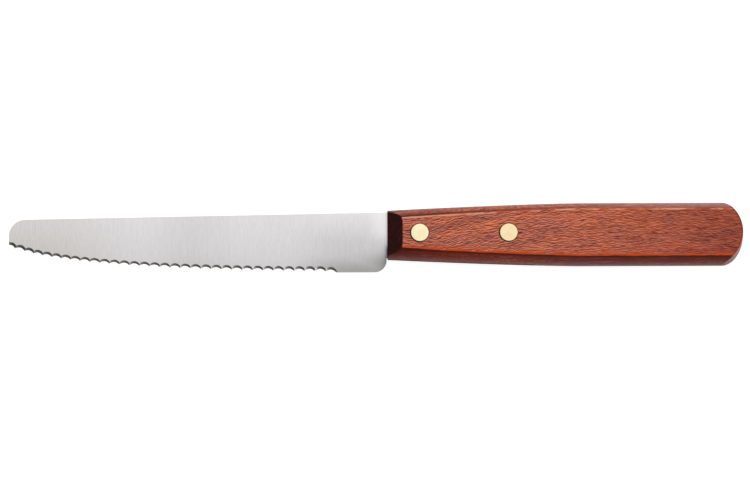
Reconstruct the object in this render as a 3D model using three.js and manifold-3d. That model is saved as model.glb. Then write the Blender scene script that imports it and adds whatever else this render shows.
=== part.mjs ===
// Serrated table knife: a half-tang blade in a slotted one-piece wooden handle, held by two brass cutlery rivets.
// Sizes are in millimetres, +Z up. The knife lies on its side, +X from tip to butt and +Y from edge to spine.
// It is drawn with x = 0 at the handle's front end, y = 0 on the handle's centre line and z = 0 in the mid-plane,
// and is then set down with the middle of its box's underside at the origin.

import * as THREE from "three";
import { mergeVertices } from "three/addons/utils/BufferGeometryUtils.js";
import Module from "manifold-3d";

// Handle: flat sides, round back and belly, tapering to the front
const HANDLE_LENGTH = 103.4;
const HANDLE_THICKNESS = 11;
const FRONT_HALF_HEIGHT = 7.18;
const REAR_HALF_HEIGHT = 9.2;
const FRONT_BULGE = 2.8;
const REAR_BULGE = 2.15;
const TAPER_LENGTH = 56;
const TAPER_EASE = 1.4;
const FACET_LENGTH = 4.3;
const FRONT_THICKNESS = 6;
const BUTT_CROWN = 6.2;
const BUTT_EDGE_RADIUS = 0.4;

// Tang and the saw kerf that takes it
const TANG_BEYOND_RIVET = 6.7;
const TANG_RECESS = 0.46;
const TANG_CORNER = 4;
const KERF_CLEARANCE = 0.05;
const KERF_END_GAP = 1.5;
const SAW_RADIUS = 60;

// Blade outline, measured ahead of the handle
const BLADE_LENGTH = 110;
const HEEL_HEIGHT = 17.56;
const HEEL_CORNER_RADIUS = 3.4;
const HEEL_GAP = 0.25;
const SHOULDER_LENGTH = 0.3;
const SPINE_ANGLE = 0.97;
const TIP_RADIUS = 4.8;
const TIP_HEIGHT = 7.4;
const PLAIN_HEEL_LENGTH = 14.9;
const BELLY_REACH = 22;
const NOSE_REACH = 10.8;
const NOSE_ANGLE = 43;

// Blade thickness, taper ground from the spine to the edge and from the heel to the tip
const SPINE_THICKNESS = 1.2;
const TIP_THICKNESS = 0.85;
const EDGE_THICKNESS = 0.5;

// Serrations, ground from the upper face by a slanted round wheel that runs out in a shallow scallop at the heel
const SCALLOP_PITCH = 3.03;
const TIP_PITCH = 2.58;
const SCALLOP_RADIUS = 3;
const SCALLOP_DEPTH = 1.08;
const RUN_OUT_DEPTH = 0.85;
const PITCH_EASE = 3;
const GRIND_ANGLE = 55;

// Cutlery rivets: a bored sleeve from above and a pin from below, their heads let into the wood
const FRONT_RIVET_X = 9.45;
const RIVET_SPACING = 25.85;
const HEAD_DIAMETER = 5.2;
const HEAD_THICKNESS = 1.4;
const HEAD_RECESS = 0.05;
const HEAD_CLEARANCE = 0.15;
const SLEEVE_DIAMETER = 3.6;
const SLEEVE_CLEARANCE = 0.05;
const SLEEVE_END_GAP = 0.5;
const BORE_FLOOR = 0.8;
const PIN_DIAMETER = 2.4;
const PIN_CLEARANCE = 0.05;
const PIN_END_GAP = 0.5;
const PIN_CHAMFER = 0.3;

// Fineness of the round forms, and how far a cutting shape runs past what it cuts
const ROUND_SEGMENTS = 32;
const CURVE_SEGMENTS = 10;
const SIDE_ARC_STEPS = 16;
const TAPER_STATIONS = 14;
const EDGE_STEPS = 3;
const WHEEL_SEGMENTS = 40;
const CUT_MARGIN = 1;

// Colours and finishes
const STEEL = { color: 0xd6d3d1, roughness: 0.35, metalness: 1 };
const WOOD = { color: 0xa85945, roughness: 0.45, metalness: 0 };
const BRASS = { color: 0xf3dfae, roughness: 0.3, metalness: 1 };

const wasm = await Module();
wasm.setup();

// A closed three.js geometry as a solid that can be joined and cut
function solidOf(geometry) {
  const bare = geometry.clone();
  bare.deleteAttribute("normal");
  bare.deleteAttribute("uv");
  const merged = mergeVertices(bare);
  const corners = merged.index.array;
  const triangles = [];
  for (let i = 0; i < corners.length; i += 3) {
    const [a, b, c] = corners.slice(i, i + 3);
    if (a !== b && b !== c && c !== a) triangles.push(a, b, c);
  }
  return new wasm.Manifold(new wasm.Mesh({
    numProp: 3,
    vertProperties: new Float32Array(merged.attributes.position.array),
    triVerts: new Uint32Array(triangles),
  }));
}

function geometryOf(solid) {
  const mesh = solid.getMesh();
  const geometry = new THREE.BufferGeometry();
  geometry.setAttribute("position", new THREE.BufferAttribute(mesh.vertProperties, mesh.numProp));
  geometry.setIndex(new THREE.BufferAttribute(mesh.triVerts, 1));
  geometry.computeVertexNormals();
  return geometry;
}

// A flat shape drawn in X and Y, given a thickness that is centred on the mid-plane
function plate(shape, thickness, curveSegments = CURVE_SEGMENTS) {
  const settings = { depth: thickness, bevelEnabled: false, curveSegments };
  return new THREE.ExtrudeGeometry(shape, settings).translate(0, 0, -thickness / 2);
}

// A round form about the Z axis, from [radius, height] corners listed from its lowest point to its highest
function turned(profile) {
  const corners = profile.map(([radius, height]) => new THREE.Vector2(radius, height));
  return new THREE.LatheGeometry(corners, ROUND_SEGMENTS).rotateX(Math.PI / 2);
}

const halfThickness = HANDLE_THICKNESS / 2;
const rivetPlaces = { front: FRONT_RIVET_X, rear: FRONT_RIVET_X + RIVET_SPACING };
const tangLength = rivetPlaces.rear + TANG_BEYOND_RIVET;
const headTop = halfThickness - HEAD_RECESS;
const headSeat = headTop - HEAD_THICKNESS;

// Share of the front taper that is still to come at a place along the handle: 1 at the front end, 0 past the taper
function taperLeft(x) {
  return Math.max(0, 1 - x / TAPER_LENGTH);
}

function handleHalfHeight(x) {
  return REAR_HALF_HEIGHT - (REAR_HALF_HEIGHT - FRONT_HALF_HEIGHT) * taperLeft(x) ** TAPER_EASE;
}

// The handle's section across X: flats above and below, and an arc that stands out by the bulge at back and belly
function handleSection(x) {
  const crest = handleHalfHeight(x);
  const bulge = REAR_BULGE + (FRONT_BULGE - REAR_BULGE) * taperLeft(x);
  const radius = (halfThickness ** 2 + bulge ** 2) / (2 * bulge);
  const section = [];
  for (const side of [1, -1]) {
    for (let step = 0; step <= SIDE_ARC_STEPS; step += 1) {
      const z = side * halfThickness * ((2 * step) / SIDE_ARC_STEPS - 1);
      const y = side * (crest - radius + Math.sqrt(radius ** 2 - z ** 2));
      section.push(new THREE.Vector3(x, y, z));
    }
  }
  return section;
}

// A closed skin through equal rings of points, which run from +Y towards +Z and follow each other along +X
function loft(rings) {
  const size = rings[0].length;
  const triangles = [];
  for (let ring = 0; ring + 1 < rings.length; ring += 1) {
    for (let point = 0; point < size; point += 1) {
      const here = ring * size + point;
      const beside = ring * size + ((point + 1) % size);
      triangles.push(here, beside, here + size, beside, beside + size, here + size);
    }
  }
  const last = (rings.length - 1) * size;
  for (let point = 1; point + 1 < size; point += 1) {
    triangles.push(0, point + 1, point, last, last + point, last + point + 1);
  }
  const geometry = new THREE.BufferGeometry().setFromPoints(rings.flat());
  geometry.setIndex(triangles);
  return geometry;
}

function handleBlank() {
  const rings = [];
  for (let station = 0; station <= TAPER_STATIONS; station += 1) {
    rings.push(handleSection((TAPER_LENGTH * station) / TAPER_STATIONS));
  }
  rings.push(handleSection(HANDLE_LENGTH));
  return loft(rings);
}

// Everything ahead of the butt's crowned end, whose edges are rounded over towards the flats
function insideButt() {
  const crownRadius = (REAR_HALF_HEIGHT ** 2 + BUTT_CROWN ** 2) / (2 * BUTT_CROWN);
  const crownX = HANDLE_LENGTH - crownRadius;
  const startX = -BUTT_EDGE_RADIUS - CUT_MARGIN;
  const straight = HANDLE_THICKNESS - 2 * BUTT_EDGE_RADIUS;
  const plan = new THREE.Shape();
  plan.moveTo(startX, -crownRadius);
  plan.lineTo(crownX, -crownRadius);
  plan.absarc(crownX, 0, crownRadius, -Math.PI / 2, Math.PI / 2, false);
  plan.lineTo(startX, crownRadius);
  return new THREE.ExtrudeGeometry(plan, {
    depth: straight,
    bevelThickness: BUTT_EDGE_RADIUS,
    bevelSize: BUTT_EDGE_RADIUS,
    bevelOffset: -BUTT_EDGE_RADIUS,
    bevelSegments: EDGE_STEPS,
    curveSegments: ROUND_SEGMENTS,
  }).translate(0, 0, -straight / 2);
}

// What is planed off the upper flat to slope it down to the handle's front end
function frontFacet() {
  const slope = (HANDLE_THICKNESS - FRONT_THICKNESS) / 2 / FACET_LENGTH;
  const facetZ = (x) => FRONT_THICKNESS / 2 + slope * x;
  const farX = FACET_LENGTH + CUT_MARGIN;
  const width = 2 * (REAR_HALF_HEIGHT + CUT_MARGIN);
  const profile = new THREE.Shape();
  profile.moveTo(-CUT_MARGIN, facetZ(-CUT_MARGIN));
  profile.lineTo(farX, facetZ(farX));
  profile.lineTo(-CUT_MARGIN, facetZ(farX));
  return plate(profile, width).rotateX(Math.PI / 2);
}

// The saw's cut: open at the front, the back and the belly, with the saw's own round at its end
function kerf() {
  const reach = REAR_HALF_HEIGHT + CUT_MARGIN;
  const sawX = tangLength + KERF_END_GAP - SAW_RADIUS;
  const endAngle = Math.asin(reach / SAW_RADIUS);
  const cut = new THREE.Shape();
  cut.moveTo(-CUT_MARGIN, -reach);
  cut.lineTo(sawX + SAW_RADIUS * Math.cos(endAngle), -reach);
  cut.absarc(sawX, 0, SAW_RADIUS, -endAngle, endAngle, false);
  cut.lineTo(-CUT_MARGIN, reach);
  return plate(cut, SPINE_THICKNESS + 2 * KERF_CLEARANCE);
}

// A hole through the wood with a seat for a rivet head at either end
function rivetHole(x) {
  const holeRadius = SLEEVE_DIAMETER / 2 + SLEEVE_CLEARANCE;
  const seatRadius = HEAD_DIAMETER / 2 + HEAD_CLEARANCE;
  const past = halfThickness + CUT_MARGIN;
  return turned([
    [0, -past],
    [seatRadius, -past],
    [seatRadius, -headSeat],
    [holeRadius, -headSeat],
    [holeRadius, headSeat],
    [seatRadius, headSeat],
    [seatRadius, past],
    [0, past],
  ]).translate(x, 0, 0);
}

function handle() {
  const facet = frontFacet();
  const cuts = [facet, facet.clone().rotateX(Math.PI), kerf()];
  for (const x of Object.values(rivetPlaces)) cuts.push(rivetHole(x));
  const blank = solidOf(handleBlank()).intersect(solidOf(insideButt()));
  return geometryOf(cuts.reduce((body, cut) => body.subtract(solidOf(cut)), blank));
}

// Blade levels: the spine starts level with the tang's back and falls towards the tip
const heelX = -HEEL_GAP;
const tipX = -BLADE_LENGTH;
const spineRootY = FRONT_HALF_HEIGHT - TANG_RECESS;
const spineAngle = THREE.MathUtils.degToRad(SPINE_ANGLE);
const spineY = (x) => spineRootY + x * Math.tan(spineAngle);
const edgeY = spineRootY - HEEL_HEIGHT;

// The edge before it is serrated: straight on from the plain heel, then curving up through belly and nose to the tip
function cuttingEdge() {
  const noseAngle = THREE.MathUtils.degToRad(NOSE_ANGLE);
  const tipY = spineY(tipX) - TIP_HEIGHT;
  return new THREE.CubicBezierCurve(
    new THREE.Vector2(-PLAIN_HEEL_LENGTH, edgeY),
    new THREE.Vector2(-PLAIN_HEEL_LENGTH - BELLY_REACH, edgeY),
    new THREE.Vector2(tipX + NOSE_REACH * Math.cos(noseAngle), tipY - NOSE_REACH * Math.sin(noseAngle)),
    new THREE.Vector2(tipX, tipY),
  );
}

function bladeOutline() {
  const edge = cuttingEdge();
  const cornerY = edgeY + HEEL_CORNER_RADIUS;
  const roundX = tipX + TIP_RADIUS;
  const roundY = spineY(roundX) - TIP_RADIUS / Math.cos(spineAngle);
  const outline = new THREE.Shape();
  outline.moveTo(heelX, spineY(heelX));
  outline.lineTo(heelX, cornerY);
  outline.absarc(heelX - HEEL_CORNER_RADIUS, cornerY, HEEL_CORNER_RADIUS, 0, -Math.PI / 2, true);
  outline.lineTo(edge.v0.x, edge.v0.y);
  outline.bezierCurveTo(edge.v1.x, edge.v1.y, edge.v2.x, edge.v2.y, edge.v3.x, edge.v3.y);
  outline.absarc(roundX, roundY, TIP_RADIUS, Math.PI, Math.PI / 2 + spineAngle, true);
  return outline;
}

// Half the blade's thickness: a flat face that falls from the spine to the edge and from the heel to the tip
function bladeHalfThickness(x, y) {
  const fallPerHeight = (SPINE_THICKNESS - EDGE_THICKNESS) / 2 / HEEL_HEIGHT;
  const spineFall = spineRootY - spineY(tipX);
  const fallPerLength = ((SPINE_THICKNESS - TIP_THICKNESS) / 2 - fallPerHeight * spineFall) / BLADE_LENGTH;
  return SPINE_THICKNESS / 2 - fallPerHeight * (spineRootY - y) + fallPerLength * x;
}

function taperedBlade() {
  const blank = plate(bladeOutline(), SPINE_THICKNESS);
  const corners = blank.attributes.position;
  for (let i = 0; i < corners.count; i += 1) {
    corners.setZ(i, Math.sign(corners.getZ(i)) * bladeHalfThickness(corners.getX(i), corners.getY(i)));
  }
  return blank;
}

// The tang follows the handle's back and belly a little below the wood
function tang() {
  const rootX = heelX - SHOULDER_LENGTH;
  const rootHalf = spineRootY;
  const endHalf = handleHalfHeight(tangLength) - TANG_RECESS;
  const outline = new THREE.Shape();
  outline.moveTo(rootX, -spineY(rootX));
  outline.lineTo(0, -rootHalf);
  outline.lineTo(tangLength - TANG_CORNER, -endHalf);
  outline.quadraticCurveTo(tangLength, -endHalf, tangLength, -endHalf + TANG_CORNER);
  outline.lineTo(tangLength, endHalf - TANG_CORNER);
  outline.quadraticCurveTo(tangLength, endHalf, tangLength - TANG_CORNER, endHalf);
  outline.lineTo(0, rootHalf);
  outline.lineTo(rootX, spineY(rootX));
  for (const x of Object.values(rivetPlaces)) {
    const hole = new THREE.Path();
    outline.holes.push(hole.absarc(x, 0, SLEEVE_DIAMETER / 2 + SLEEVE_CLEARANCE, 0, 2 * Math.PI, false));
  }
  return plate(outline, SPINE_THICKNESS, ROUND_SEGMENTS / 2);
}

const slant = THREE.MathUtils.degToRad(GRIND_ANGLE);

// Half the width that a scallop of some depth opens along the edge
function scallopHalfWidth(depth) {
  const depthShare = (depth * Math.cos(slant)) / SCALLOP_RADIUS;
  return SCALLOP_RADIUS * Math.sqrt(1 - (1 - depthShare) ** 2);
}

// One scallop's share of the grinding wheel: a slanted cylinder that reaches its depth at the blade's lower face
function scallopCutter(point, along, depth) {
  const out = new THREE.Vector3(-along.y, along.x, 0);
  const axis = new THREE.Vector3(0, 0, Math.cos(slant)).addScaledVector(out, -Math.sin(slant));
  const tangent = new THREE.Vector3(along.x, along.y, 0);
  const centre = new THREE.Vector3(point.x, point.y, -EDGE_THICKNESS / 2);
  centre.addScaledVector(out, SCALLOP_RADIUS / Math.cos(slant) - depth);
  const length = 2 * (SCALLOP_RADIUS * Math.tan(slant) + SPINE_THICKNESS / Math.cos(slant) + CUT_MARGIN);
  const place = new THREE.Matrix4().makeBasis(tangent, axis, tangent.clone().cross(axis)).setPosition(centre);
  return new THREE.CylinderGeometry(SCALLOP_RADIUS, SCALLOP_RADIUS, length, WHEEL_SEGMENTS).applyMatrix4(place);
}

// Scallops stand side by side from the plain heel to the tip, closing up a little where the nose turns up
function scallopCutters() {
  const edge = cuttingEdge();
  const edgeLength = edge.getLength();
  const cutters = [];
  let travelled = scallopHalfWidth(RUN_OUT_DEPTH);
  while (travelled < edgeLength) {
    const share = travelled / edgeLength;
    const depth = cutters.length === 0 ? RUN_OUT_DEPTH : SCALLOP_DEPTH;
    cutters.push(scallopCutter(edge.getPointAt(share), edge.getTangentAt(share), depth));
    travelled += SCALLOP_PITCH + (TIP_PITCH - SCALLOP_PITCH) * share ** PITCH_EASE;
  }
  return cutters;
}

function blade() {
  const blank = solidOf(taperedBlade()).add(solidOf(tang()));
  return geometryOf(scallopCutters().reduce((body, cutter) => body.subtract(solidOf(cutter)), blank));
}

// The bored half of a rivet, its head in the upper flat
function rivetSleeve() {
  const boreRadius = PIN_DIAMETER / 2 + PIN_CLEARANCE;
  const boreTop = headSeat - BORE_FLOOR;
  const openEnd = -headSeat + SLEEVE_END_GAP;
  return turned([
    [0, boreTop],
    [boreRadius, boreTop],
    [boreRadius, openEnd],
    [SLEEVE_DIAMETER / 2, openEnd],
    [SLEEVE_DIAMETER / 2, headSeat],
    [HEAD_DIAMETER / 2, headSeat],
    [HEAD_DIAMETER / 2, headTop],
    [0, headTop],
  ]);
}

// The pressed-in half of a rivet, its head in the lower flat
function rivetPin() {
  const pinTop = headSeat - BORE_FLOOR - PIN_END_GAP;
  return turned([
    [0, -headTop],
    [HEAD_DIAMETER / 2, -headTop],
    [HEAD_DIAMETER / 2, -headSeat],
    [PIN_DIAMETER / 2, -headSeat],
    [PIN_DIAMETER / 2, pinTop - PIN_CHAMFER],
    [PIN_DIAMETER / 2 - PIN_CHAMFER, pinTop],
    [0, pinTop],
  ]);
}

function piece(name, geometry, finish) {
  const mesh = new THREE.Mesh(geometry, new THREE.MeshStandardMaterial(finish));
  mesh.name = name;
  return mesh;
}

const knife = new THREE.Group();
knife.add(piece("blade", blade(), STEEL));
knife.add(piece("handle", handle(), WOOD));
for (const [place, x] of Object.entries(rivetPlaces)) {
  const sleeve = piece(`${place}_rivet_sleeve`, rivetSleeve(), BRASS);
  const pin = piece(`${place}_rivet_pin`, rivetPin(), BRASS);
  sleeve.position.x = x;
  pin.position.x = x;
  knife.add(sleeve, pin);
}

const box = new THREE.Box3().setFromObject(knife);
const middle = box.getCenter(new THREE.Vector3());
knife.position.set(-middle.x, -middle.y, -box.min.z);

export default knife;
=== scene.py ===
import math

import bmesh
import bpy
from mathutils import Matrix, Vector


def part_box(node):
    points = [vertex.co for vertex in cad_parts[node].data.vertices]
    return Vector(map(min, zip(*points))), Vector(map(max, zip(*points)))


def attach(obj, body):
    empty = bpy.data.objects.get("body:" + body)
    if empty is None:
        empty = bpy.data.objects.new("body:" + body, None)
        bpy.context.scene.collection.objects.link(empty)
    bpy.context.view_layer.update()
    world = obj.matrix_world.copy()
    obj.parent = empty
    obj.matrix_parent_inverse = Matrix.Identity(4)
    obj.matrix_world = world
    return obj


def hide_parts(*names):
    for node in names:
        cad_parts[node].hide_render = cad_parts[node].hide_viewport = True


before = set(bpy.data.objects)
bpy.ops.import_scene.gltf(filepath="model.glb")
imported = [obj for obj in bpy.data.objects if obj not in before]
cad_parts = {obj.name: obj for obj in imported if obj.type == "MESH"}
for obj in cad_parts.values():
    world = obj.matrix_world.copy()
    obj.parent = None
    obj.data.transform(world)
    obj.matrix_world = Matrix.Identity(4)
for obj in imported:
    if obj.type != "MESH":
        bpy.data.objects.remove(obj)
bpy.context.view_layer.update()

# Lengths are millimetres in the maker's drawing: x = 0 at the handle's front end, y = 0 on its centre line,
# z = 0 in the mid-plane, +X from tip to butt and +Y from edge to spine. Pieces are placed in metres.
MM = 0.001

# Handle
HANDLE_LENGTH = 103.4
HANDLE_THICKNESS = 11.0
FRONT_HALF_HEIGHT = 7.18
REAR_HALF_HEIGHT = 9.2
FRONT_BULGE = 2.8
REAR_BULGE = 2.15
TAPER_LENGTH = 56.0
TAPER_EASE = 1.4
FACET_LENGTH = 4.3
FRONT_THICKNESS = 6.0
BUTT_CROWN = 6.2
ARRIS_RADIUS = 0.34
ARRIS_ANGLE = math.radians(20)

# Waver that a hand at the sander leaves: its depth, its turns in radians per millimetre, and the finer share
HAND_WAVER = 0.09
WAVER_TURN = 0.23
FINE_WAVER_TURN = 0.61
FINE_WAVER_SHARE = 0.6

# Tang and the saw kerf that takes it
TANG_BEYOND_RIVET = 6.7
TANG_RECESS = 0.46
TANG_CORNER = 4.0
KERF_CLEARANCE = 0.05
KERF_END_GAP = 1.5
SAW_RADIUS = 60.0

# Blade
BLADE_LENGTH = 110.0
HEEL_HEIGHT = 17.56
HEEL_CORNER_RADIUS = 3.4
HEEL_GAP = 0.25
SHOULDER_LENGTH = 0.3
SPINE_ANGLE = math.radians(0.97)
TIP_RADIUS = 4.8
TIP_HEIGHT = 7.4
PLAIN_HEEL_LENGTH = 14.9
BELLY_REACH = 22.0
NOSE_REACH = 10.8
NOSE_ANGLE = math.radians(43)
SPINE_THICKNESS = 1.2
TIP_THICKNESS = 0.85
EDGE_THICKNESS = 0.5
BLADE_EDGE_BREAK = 0.1
BLADE_BREAK_ANGLE = math.radians(60)

# Serrations
SCALLOP_PITCH = 3.03
TIP_PITCH = 2.58
PITCH_EASE = 3
SCALLOP_RADIUS = 3.0
SCALLOP_DEPTH = 1.08
RUN_OUT_DEPTH = 0.85
LAST_DEPTH = 0.6
GRIND_ANGLE = math.radians(55)

# How a ground face is told by its normal, and how fast its painted shade turns across a scallop
GROUND_LEAST_Z = 0.4
GROUND_MOST_Z = 0.9
GROUND_MOST_Y = -0.2
SCALLOP_SHADING = 1.6

# Cutlery rivets
FRONT_RIVET_X = 9.45
RIVET_SPACING = 25.85
RIVET_COUNT = 2
HEAD_RADIUS = 2.6
HEAD_THICKNESS = 1.4
HEAD_RECESS = 0.05
HEAD_CLEARANCE = 0.15
HEAD_EDGE_BREAK = 0.12
HEAD_ROUND_SHARE = 0.3
SLEEVE_RADIUS = 1.8
SLEEVE_CLEARANCE = 0.05
SLEEVE_END_GAP = 0.5
BORE_FLOOR = 0.8
PIN_RADIUS = 1.2
PIN_CLEARANCE = 0.05
PIN_END_GAP = 0.5
PIN_CHAMFER = 0.3

# How finely round forms are divided, what is shaded as a hard edge, how far a cutter runs past what it cuts,
# and how close two corners have to be to become one
SIDE_STEPS = 7
FLAT_STEPS = 24
FACET_STATIONS = 3
TAPER_STATIONS = 28
REAR_STATIONS = 12
ARC_STEPS = 24
EDGE_STEPS = 120
TURNED_STEPS = 72
SOFT_STEPS = 3
HARD_EDGE = math.radians(50)
BLADE_HARD_EDGE = math.radians(20)
CUT_MARGIN = 1.0
WELD_DISTANCE = 1e-4

# Sizes that follow from those above
HALF_THICKNESS = HANDLE_THICKNESS / 2
HEAD_TOP = HALF_THICKNESS - HEAD_RECESS
HEAD_SEAT = HEAD_TOP - HEAD_THICKNESS
HEAD_ROUND = HEAD_ROUND_SHARE * HEAD_EDGE_BREAK
SEAT_RADIUS = HEAD_RADIUS + HEAD_CLEARANCE
REAR_RIVET_X = FRONT_RIVET_X + RIVET_SPACING
TANG_LENGTH = REAR_RIVET_X + TANG_BEYOND_RIVET
FACET_SLOPE = (HANDLE_THICKNESS - FRONT_THICKNESS) / 2 / FACET_LENGTH
CROWN_RADIUS = (REAR_HALF_HEIGHT**2 + BUTT_CROWN**2) / (2 * BUTT_CROWN)
CROWN_X = HANDLE_LENGTH - CROWN_RADIUS
SPINE_ROOT_Y = FRONT_HALF_HEIGHT - TANG_RECESS
EDGE_Y = SPINE_ROOT_Y - HEEL_HEIGHT
TIP_X = -BLADE_LENGTH
HEEL_X = -HEEL_GAP

# Where the drawing's origin lies in the scene
handle_low, handle_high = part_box("handle")
DRAWING_ORIGIN = (handle_low + handle_high) / 2
DRAWING_ORIGIN.x = handle_low.x


# Node trees: one socket, on which sums, products and other nodes are written as expressions

class Field:
    """A socket in a node tree. Arithmetic on it adds Math nodes to the same tree."""

    def __init__(self, tree, socket=None):
        self.tree = tree
        self.socket = socket

    def node(self, kind, settings, inputs, output=0):
        """Adds a node with its settings and its inputs: numbers, colours, fields or lists of fields."""
        made = self.tree.nodes.new(kind)
        for name, value in settings.items():
            setattr(made, name, value)
        for key, value in inputs.items():
            for link in value if isinstance(value, list) else [value]:
                if isinstance(link, Field):
                    self.tree.links.new(link.socket, made.inputs[key])
                else:
                    made.inputs[key].default_value = link
        return Field(self.tree, made.outputs[output] if len(made.outputs) else None)

    def math(self, operation, *values):
        return self.node("ShaderNodeMath", {"operation": operation}, dict(enumerate(values)))

    def __add__(self, other):
        return self.math("ADD", self, other)

    def __radd__(self, other):
        return self.math("ADD", other, self)

    def __sub__(self, other):
        return self.math("SUBTRACT", self, other)

    def __rsub__(self, other):
        return self.math("SUBTRACT", other, self)

    def __mul__(self, other):
        return self.math("MULTIPLY", self, other)

    def __rmul__(self, other):
        return self.math("MULTIPLY", other, self)

    def __truediv__(self, other):
        return self.math("DIVIDE", self, other)

    def __pow__(self, other):
        return self.math("POWER", self, other)

    def __abs__(self):
        return self.math("ABSOLUTE", self)

    def at_least(self, low):
        return self.math("MAXIMUM", self, low)

    def exponential(self):
        return self.math("EXPONENT", self)

    def rise(self, start, end):
        """0 before start and 1 past end, with a soft step between. It falls where start is the larger."""
        settings = {"interpolation_type": "SMOOTHSTEP"}
        return self.node("ShaderNodeMapRange", settings, {"Value": self, "From Min": start, "From Max": end})

    def stretched(self, size):
        """This vector, in millimetres, divided by the size of a pattern along each axis."""
        shrink = tuple(1 / length for length in size)
        return self.node("ShaderNodeVectorMath", {"operation": "MULTIPLY"}, {0: self, 1: shrink})

    def noise(self, size, detail=2.0, roughness=0.5, distortion=0.0):
        """Noise whose grains have this size in millimetres along each axis, with a mean of about a half."""
        inputs = {
            "Vector": self.stretched(size),
            "Scale": 1.0,
            "Detail": detail,
            "Roughness": roughness,
            "Distortion": distortion,
        }
        return self.node("ShaderNodeTexNoise", {}, inputs)

    def mixed(self, first, second):
        """The first colour where this factor is 0 and the second where it is 1."""
        return self.node("ShaderNodeMix", {"data_type": "RGBA"}, {0: self, 6: first, 7: second}, 2)


def colour(red, green, blue):
    """A colour given as it looks on a screen, from 0 to 255."""
    shares = [value / 255 for value in (red, green, blue)]
    return (*[s / 12.92 if s <= 0.04045 else ((s + 0.055) / 1.055) ** 2.4 for s in shares], 1.0)


# Meshes and pieces

def new_object(name, corners, faces, origin=DRAWING_ORIGIN):
    """An object with its place in its mesh, from corners in millimetres, with its faces turned outwards."""
    mesh = bpy.data.meshes.new(name)
    mesh.from_pydata([origin + Vector(corner) * MM for corner in corners], [], faces)
    shell = bmesh.new()
    shell.from_mesh(mesh)
    bmesh.ops.remove_doubles(shell, verts=shell.verts, dist=WELD_DISTANCE * MM)
    bmesh.ops.recalc_face_normals(shell, faces=shell.faces)
    shell.to_mesh(mesh)
    shell.free()
    made = bpy.data.objects.new(name, mesh)
    bpy.context.scene.collection.objects.link(made)
    return made


def plate(name, outline, half_thickness):
    """A flat form with this outline, which reaches half_thickness(x, y) above and below z = 0."""
    count = len(outline)
    corners = [(x, y, side * half_thickness(x, y)) for side in (-1, 1) for x, y in outline]
    faces = [tuple(range(count)), tuple(range(count, 2 * count))]
    faces += [(i, (i + 1) % count, count + (i + 1) % count, count + i) for i in range(count)]
    return new_object(name, corners, faces)


def turned(name, profile):
    """A round form about the Z axis, from (radius, height) corners that start and end on the axis."""
    corners = []
    for step in range(TURNED_STEPS):
        angle = math.tau * step / TURNED_STEPS
        cos = math.cos(angle)
        sin = math.sin(angle)
        corners += [(radius * cos, radius * sin, height) for radius, height in profile]
    size = len(profile)
    faces = []
    for here in range(TURNED_STEPS):
        beside = (here + 1) % TURNED_STEPS
        for i in range(size - 1):
            quad = [here * size + i, beside * size + i, beside * size + i + 1, here * size + i + 1]
            if profile[i][0] == 0:
                quad.pop(1)
            elif profile[i + 1][0] == 0:
                quad.pop(2)
            faces.append(quad)
    return new_object(name, corners, faces, Vector())


def arc(centre, radius, start, end, steps=ARC_STEPS):
    angles = [start + (end - start) * step / steps for step in range(steps + 1)]
    return [(centre[0] + radius * math.cos(a), centre[1] + radius * math.sin(a)) for a in angles]


def made_plain(piece):
    """Turns what the modifiers make of a piece into its plain mesh."""
    graph = bpy.context.evaluated_depsgraph_get()
    result = piece.evaluated_get(graph)
    mesh = bpy.data.meshes.new_from_object(result, preserve_all_data_layers=True, depsgraph=graph)
    piece.modifiers.clear()
    piece.data = mesh
    return piece


def shaded(piece, sharp_angle):
    """Smooth shading with hard edges past an angle, and normals that keep the large flat faces flat."""
    piece.data.shade_smooth()
    piece.data.set_sharp_from_angle(angle=sharp_angle)
    weighting = piece.modifiers.new("flat faces first", "WEIGHTED_NORMAL")
    weighting.keep_sharp = True
    return made_plain(piece)


def softened(piece, width, angle):
    """Edges sharper than an angle are broken with a small round."""
    edge_break = piece.modifiers.new("edge break", "BEVEL")
    edge_break.limit_method = "ANGLE"
    edge_break.angle_limit = angle
    edge_break.width = width * MM
    edge_break.segments = SOFT_STEPS
    return piece


def geometry_tree(name, inputs):
    """A geometry tree with named inputs. Returns the tree and its inputs as fields."""
    tree = bpy.data.node_groups.new(name, "GeometryNodeTree")
    tree.interface.new_socket("Geometry", in_out="INPUT", socket_type="NodeSocketGeometry")
    tree.interface.new_socket("Geometry", in_out="OUTPUT", socket_type="NodeSocketGeometry")
    for label, kind in inputs.items():
        tree.interface.new_socket(label, in_out="INPUT", socket_type=f"NodeSocket{kind}")
    sockets = tree.nodes.new("NodeGroupInput").outputs
    return tree, {socket.name: Field(tree, socket) for socket in sockets if socket.name}


def end_tree(geometry, finish):
    """Ends a geometry tree: plain geometry in one finish."""
    plain = geometry.node("GeometryNodeRealizeInstances", {}, {"Geometry": geometry})
    painted = plain.node("GeometryNodeSetMaterial", {}, {"Geometry": plain, "Material": finish})
    painted.node("NodeGroupOutput", {}, {"Geometry": painted})


def grown(piece, tree, values):
    """Runs a geometry tree on a piece, with its inputs set by name, and leaves a plain mesh."""
    modifier = piece.modifiers.new(tree.name, "NODES")
    modifier.node_group = tree
    for item in tree.interface.items_tree:
        if item.in_out == "INPUT" and item.name in values:
            modifier[item.identifier] = values[item.name]
    return made_plain(piece)


def shape_of(field, thing):
    return field.node("GeometryNodeObjectInfo", {}, {"Object": thing}, "Geometry")


def cut_from(body, tools):
    inputs = {"Mesh 1": body, "Mesh 2": tools, "Self Intersection": True}
    return body.node("GeometryNodeMeshBoolean", {"operation": "DIFFERENCE", "solver": "EXACT"}, inputs)


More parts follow.
